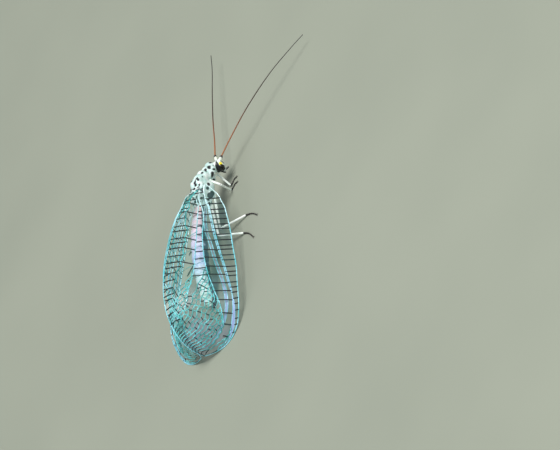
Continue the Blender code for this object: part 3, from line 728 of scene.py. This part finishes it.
# A hind wing's chords run over its own width, from its front edge to its back edge.
HINDWING_VEINS = {
    "edge": [(0.0, 0.0), (1.0, 0.0)],
    "spar": [(0.0, 0.12), (0.3, 0.07), (1.0, 0.05)],
    "sector": [(0.0, 0.30), (0.3, 0.26), (0.6, 0.20), (0.85, 0.12), (1.0, 0.08)],
}
# The tip's drop, measured down the slope of the roof instead of straight down.
SLOPE_PER_DROP = 1.37
TIP_FALL = TIP_DROP * SLOPE_PER_DROP


def depth_at(at, chord):
    """Distance down the wing from its ridge, in millimetres."""
    left = tip_rounding(at, TIP_START)
    return TIP_FALL * (1 - left) + (1 - chord) * WING_WIDTH * between(CHORD_SHARE, at) * left


def chord_at(at, depth):
    """Chord at such a distance, kept on the wing."""
    left = tip_rounding(at, TIP_START)
    wide = WING_WIDTH * between(CHORD_SHARE, at) * left
    return min(max(1 - (depth - TIP_FALL * (1 - left)) / max(wide, 0.01), 0.0), 1.0)


class WingNet:
    """The lines of one wing's veins: pale long ones, teal branches and black rungs between them.
    Widths are in millimetres, and places are (root to tip, front edge to ridge) from 0 to 1."""

    CUTS_PER_LENGTH = 46
    BLACK_EXTRA = 1.2
    ROOT_END = 0.14
    EDGE_STEPS = 90
    VEIN_STEPS = 60
    RUN_STEPS = 24
    FORK_STEP = 22
    RUN_BOW = 0.06
    LEFT_OUT = 0.12
    STEPPED_RUNS = 14
    LONGEST_STEP = 0.5

    def __init__(self, wing_at, veins, side, scale):
        self.wing_at = wing_at
        self.veins = veins
        self.side = side
        self.scale = scale
        self.pale = []
        self.teal = []
        self.black = []
        self.luck = random.Random(11)

    def vein(self, name, at):
        return between(self.veins[name], at)

    def line(self, points, width, kind, taper=0.0, thin_root=0.0):
        """A thread through places on the wing, which may taper to its end or thin at the wing's root."""
        path = []
        for start, end in zip(points, points[1:]):
            cuts = max(1, int(math.dist(start, end) * self.CUTS_PER_LENGTH))
            path += [tuple(first + (last - first) * cut / cuts for first, last in zip(start, end))
                     for cut in range(cuts)]
        path.append(points[-1])
        thread = []
        for index, (at, chord) in enumerate(path):
            spot = self.wing_at(min(max(at, 0.0), 1.0), min(max(chord, 0.0), 1.0), self.side)
            radius = (width * self.scale * (self.BLACK_EXTRA if kind is self.black else 1.0)
                      * (1 - taper * index / (len(path) - 1))
                      * (1 - thin_root * max(0.0, 1 - at / self.ROOT_END)))
            spot.z = max(spot.z, (radius + FLOOR_GAP) * MM)
            thread.append((spot, radius))
        kind.append(thread)

    def follow(self, name, start, end):
        """Places along one of the long veins."""
        steps = range(self.VEIN_STEPS + 1)
        places = [start + (end - start) * step / self.VEIN_STEPS for step in steps]
        return [(at, self.vein(name, at)) for at in places]

    def spread(self, count, start, end, wobble):
        """Nearly even places, each moved a little by chance."""
        gap = (end - start) / (count - 1)
        return [start + gap * (index + wobble * (self.luck.random() - 0.5)) for index in range(count)]

    def margins(self):
        """The front and back edge, and the spar behind the front one."""
        for chord, width, taper, thin_root in ((0.0, 0.044, 0.2, 0.5), (1.0, 0.036, 0.0, 0.75)):
            edge = [(math.sin(step / self.EDGE_STEPS * math.pi / 2), chord)
                    for step in range(self.EDGE_STEPS + 1)]
            self.line(edge, width, self.pale, taper, thin_root)
        self.line(self.follow("spar", 0.0, 0.985), 0.048, self.pale, 0.4, 0.4)

    def few_branches(self):
        """All that a hind wing shows through the fore wing over it."""
        for at in self.spread(7, 0.25, 0.85, 0.3):
            root = self.vein("sector", at)
            self.line([(at, root), (at + 0.05, (root + 1.0) / 2), (at + 0.13, 1.0)], 0.026, self.teal)

    def long_veins(self):
        for name, start, end, width, taper, thin_root in (
                ("strut", 0.0, 0.965, 0.036, 0.3, 0.4), ("sector", 0.05, 0.90, 0.042, 0.3, 0.0),
                ("inner", 0.08, 0.80, 0.034, 0.2, 0.0)):
            self.line(self.follow(name, start, end), width, self.pale, taper, thin_root)

    def rungs(self):
        """Rungs from the front edge to the strut, from the spar to the sector and on to the inner vein."""
        for at in self.spread(25, 0.085, 0.93, 0.35):
            self.line([(at, 0.0), (at + 0.004, self.vein("strut", at))], 0.036, self.black)
        for at in self.spread(14, 0.20, 0.935, 0.35):
            begin = at + 0.006
            self.line([(begin, self.vein("spar", at)), (at, self.vein("sector", at))], 0.038, self.black)
        for at in self.spread(9, 0.17, 0.60, 0.3):
            end = at + 0.004
            self.line([(at, self.vein("sector", at)), (end, self.vein("inner", end))], 0.034, self.black)

    def zigzag(self):
        """The outer long vein, which steps from one edge rung to the next. Gives back its knots."""
        knots = []
        for index, at in enumerate(self.spread(20, 0.10, 0.86, 0.45)):
            knot = (at, self.vein("outer", at) + 0.016 * (-1) ** index)
            knots.append(knot)
            slant = 0.004 + 0.03 * max(0.0, at - 0.5)
            half_way = (at + slant * 0.6, (knot[1] + 1.0) / 2)
            self.line([knot, half_way], 0.036, self.black)
            if at < 0.56 or index % 2:
                self.line([half_way, (at + slant * 2, 1.0)], 0.034, self.black)
            else:
                for way in (-1, 1):
                    self.line([half_way, (at + slant * 2 + way * 0.010, 1.0)], 0.030, self.black)
            if index % 2 == 0 and at < 0.54:
                self.line([knot, (at + 0.022, self.vein("inner", at + 0.022))], 0.034, self.black)
        self.line(knots, 0.038, self.teal)
        self.line([(0.04, 0.80), knots[0]], 0.034, self.teal)
        return knots

    def tip_branches(self):
        """Branches that curve down from the long veins to the edge near the tip, each with a short fork."""
        branches = [(0.56 + 0.04 * step, "inner", 0.835 + 0.018 * step, 1.0) for step in range(5)]
        branches += [(0.55 + 0.033 * step, "sector", 1 - 0.08 * (1 - step / 11) ** 1.8, 1.0)
                     for step in range(11)]
        branches += [(0.90, "spar", 0.9985, 0.0), (0.935, "spar", 0.995, 0.49)]
        runs = []
        for at, name, end, end_chord in branches:
            begin = depth_at(at, self.vein(name, at))
            goal = depth_at(end, end_chord)
            run = []
            for step in range(self.RUN_STEPS + 1):
                share = step / self.RUN_STEPS
                there = at + (end - at) * share ** 0.9
                bow = self.RUN_BOW * math.sin(step * 1.3 + at * 40) * (0 < step < self.RUN_STEPS - 1)
                run.append((there, chord_at(there, begin + (goal - begin) * share ** 1.15 + bow)))
            runs.append(run)
            self.line(run[:self.FORK_STEP + 1], 0.034, self.teal)
            tip = run[-1]
            for way, kind in ((-1, self.teal), (1, self.black)):
                self.line([run[self.FORK_STEP], (tip[0] + way * 0.004, tip[1] - way * 0.01)], 0.024, kind)
        return runs

    def cross_steps(self, runs):
        """Short steps from one branch to the nearest place on the next, which leave small uneven cells."""
        for index, (first, second) in enumerate(zip(runs, runs[1:])):
            across = [self.wing_at(*spot, self.side) for spot in second[:self.FORK_STEP + 1]]
            for step in range(1 + index % 2, self.FORK_STEP, 2):
                if self.luck.random() < self.LEFT_OUT or index >= self.STEPPED_RUNS:
                    continue
                here = self.wing_at(*first[step], self.side)
                nearest = min(range(len(across)), key=lambda spot: (across[spot] - here).length)
                reach = (across[nearest] - here).length
                if 0 < nearest < self.FORK_STEP and reach < self.LONGEST_STEP * MM:
                    kind = self.black if self.luck.random() < 0.5 else self.teal
                    self.line([first[step], second[nearest]], 0.030, kind)

    def knot_links(self, knots, runs):
        """Links from the last knots to the first branch beside them."""
        for knot in knots[-8::2]:
            nearest = min(runs[0], key=lambda spot: math.dist(spot, (knot[0] + 0.01, knot[1] - 0.03)))
            if math.dist(knot, nearest) < 0.12:
                self.line([knot, nearest], 0.032, self.black)

    def root_corner(self):
        """Short veins that close the corner against the body."""
        for far in (0.09, 0.15, 0.21):
            self.line([(0.03, 0.80), (far * 0.6, 0.88), (far, 1.0)], 0.030, self.teal)
        for at, low, high in ((0.045, 0.46, 0.98), (0.085, 0.62, 0.94), (0.13, 0.42, 0.58)):
            self.line([(at, low), (at + 0.008, high)], 0.036, self.black)

    def fill(self):
        """Everything of a fore wing inside its margins."""
        self.long_veins()
        self.rungs()
        knots = self.zigzag()
        runs = self.tip_branches()
        self.cross_steps(runs)
        self.knot_links(knots, runs)
        self.root_corner()


HINDWING_FINENESS = 0.6
LEFT_FINENESS = 0.75
BAND_START = 0.08
BAND_LENGTH = 0.87
for side, word in ((-1, "left"), (1, "right")):
    fineness = LEFT_FINENESS if side < 0 else 1.0
    for pair, wing_at, veins, scale in (("forewing_", forewing_at, FOREWING_VEINS, 1.0),
                                        ("hindwing_", hindwing_at, HINDWING_VEINS, HINDWING_FINENESS)):
        name = pair + word
        sheet = bmesh.new()
        bmesh.ops.create_grid(sheet, x_segments=84, y_segments=30, size=0.5)
        for vert in sheet.verts:
            vert.co = wing_at(math.sin((vert.co.x + 0.5) * math.pi / 2), vert.co.y + 0.5, side)
        bmesh.ops.remove_doubles(sheet, verts=sheet.verts, dist=1e-7)
        bmesh.ops.recalc_face_normals(sheet, faces=sheet.faces)
        mesh = bpy.data.meshes.new(name)
        sheet.to_mesh(mesh)
        sheet.free()
        add_piece(name + "_membrane", mesh, membrane, "wing", name)
        net = WingNet(wing_at, veins, side, scale * fineness)
        net.margins()
        if pair == "forewing_":
            net.fill()
        else:
            net.few_branches()
        add_piece(name + "_veins", threads(name + "_veins", net.pale, 1), vein_pale, "wing")
        add_piece(name + "_branches", threads(name + "_branches", net.teal, 1), vein_teal, "wing")
        if net.black:
            add_piece(name + "_rungs", threads(name + "_rungs", net.black, 1), vein_black, "wing")
    # Between its two front veins each wing is a little denser, which shows as a pale band.
    for name, wing_at, front, back, lift in (
            ("forewing_band_", forewing_at, FOREWING_VEINS["strut"], FOREWING_VEINS["spar"], 0.03),
            ("hindwing_band_", hindwing_at, HINDWING_VEINS["edge"], HINDWING_VEINS["spar"], 0.01)):
        band = bmesh.new()
        bmesh.ops.create_grid(band, x_segments=80, y_segments=2, size=0.5)
        for vert in band.verts:
            at = BAND_START + BAND_LENGTH * (vert.co.x + 0.5)
            low, high = between(front, at), between(back, at)
            vert.co = wing_at(at, low + (high - low) * (vert.co.y + 0.5), side, lift)
        mesh = bpy.data.meshes.new(name + word)
        band.to_mesh(mesh)
        band.free()
        add_piece(name + word, mesh, band_finish, "wing")

# The floor that the insect stands on, the soft lights round it, and the camera where the
# photograph was taken from, over its right side with its head towards the top.
floor = bmesh.new()
bmesh.ops.create_grid(floor, x_segments=1, y_segments=1, size=1.5)
mesh = bpy.data.meshes.new("floor")
floor.to_mesh(mesh)
floor.free()
ground = bpy.data.objects.new("floor", mesh)
bpy.context.scene.collection.objects.link(ground)
card, shader, place = new_finish("floor_card", Roughness=0.75)
feed(shader, Base_Color=place.grain(60.0, 2.0).step(0.2, 0.8).blend(
    colour(0.25, 0.275, 0.225), colour(0.275, 0.30, 0.245)))
mesh.materials.append(card)
ground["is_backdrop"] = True

# The picture's right and up, as directions along the insect's forward, up and right.
VIEW_RIGHT = INSECT.to_3x3() @ Vector((0.0, -0.7986, 0.6018)) / MM
VIEW_UP = INSECT.to_3x3() @ Vector((0.8988, 0.2638, 0.3501)) / MM
VIEW_BACK = VIEW_RIGHT.cross(VIEW_UP).normalized()
VIEW_WIDTH = 37.84
VIEW_DISTANCE = 300.0
AIM_RIGHT = 5.338
AIM_UP = -2.568
SENSOR_WIDTH = 36.0
camera_data = bpy.data.cameras.new("camera")
camera_data.sensor_width = SENSOR_WIDTH
camera_data.lens = SENSOR_WIDTH * VIEW_DISTANCE / VIEW_WIDTH
camera_data.clip_start = 0.005
camera_data.clip_end = 20.0
camera = bpy.data.objects.new("camera", camera_data)
bpy.context.scene.collection.objects.link(camera)
aim = MIDDLE + (VIEW_RIGHT * AIM_RIGHT + VIEW_UP * AIM_UP) * MM
camera.matrix_world = Matrix.Translation(aim + VIEW_BACK * VIEW_DISTANCE * MM) @ Matrix(
    (VIEW_RIGHT, VIEW_UP, VIEW_BACK)).transposed().to_4x4()
bpy.context.scene.camera = camera


def soft_light(name, way, distance, size, power, tint):
    """A square lamp that shines on the insect. Distance and size are in metres, power in watts."""
    data = bpy.data.lights.new(name, 'AREA')
    data.size = size
    data.energy = power
    data.color = tint
    lamp = bpy.data.objects.new(name, data)
    bpy.context.scene.collection.objects.link(lamp)
    lamp.location = MIDDLE + way.normalized() * distance
    lamp.rotation_mode = 'QUATERNION'
    lamp.rotation_quaternion = way.to_track_quat('Z', 'Y')


soft_light("key", VIEW_BACK * 0.8 - VIEW_RIGHT * 0.7 + VIEW_UP * 0.7, 0.40, 0.18, 1.85, (1.0, 0.98, 0.95))
soft_light("fill", VIEW_BACK * 0.7 + VIEW_RIGHT * 0.9 + Vector((0, 0, 0.5)), 0.45, 0.35, 0.75,
           (0.92, 0.97, 1.0))
soft_light("back", Vector((0.4, 0.9, 0.7)), 0.45, 0.25, 0.6, (0.95, 0.98, 1.0))
world = bpy.data.worlds.new("studio")
world.use_nodes = True
world.node_tree.nodes["Background"].inputs["Color"].default_value = colour(0.90, 0.94, 0.96)
world.node_tree.nodes["Background"].inputs["Strength"].default_value = 0.27
bpy.context.scene.world = world
bpy.context.scene.view_settings.view_transform = 'Standard'

low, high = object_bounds()
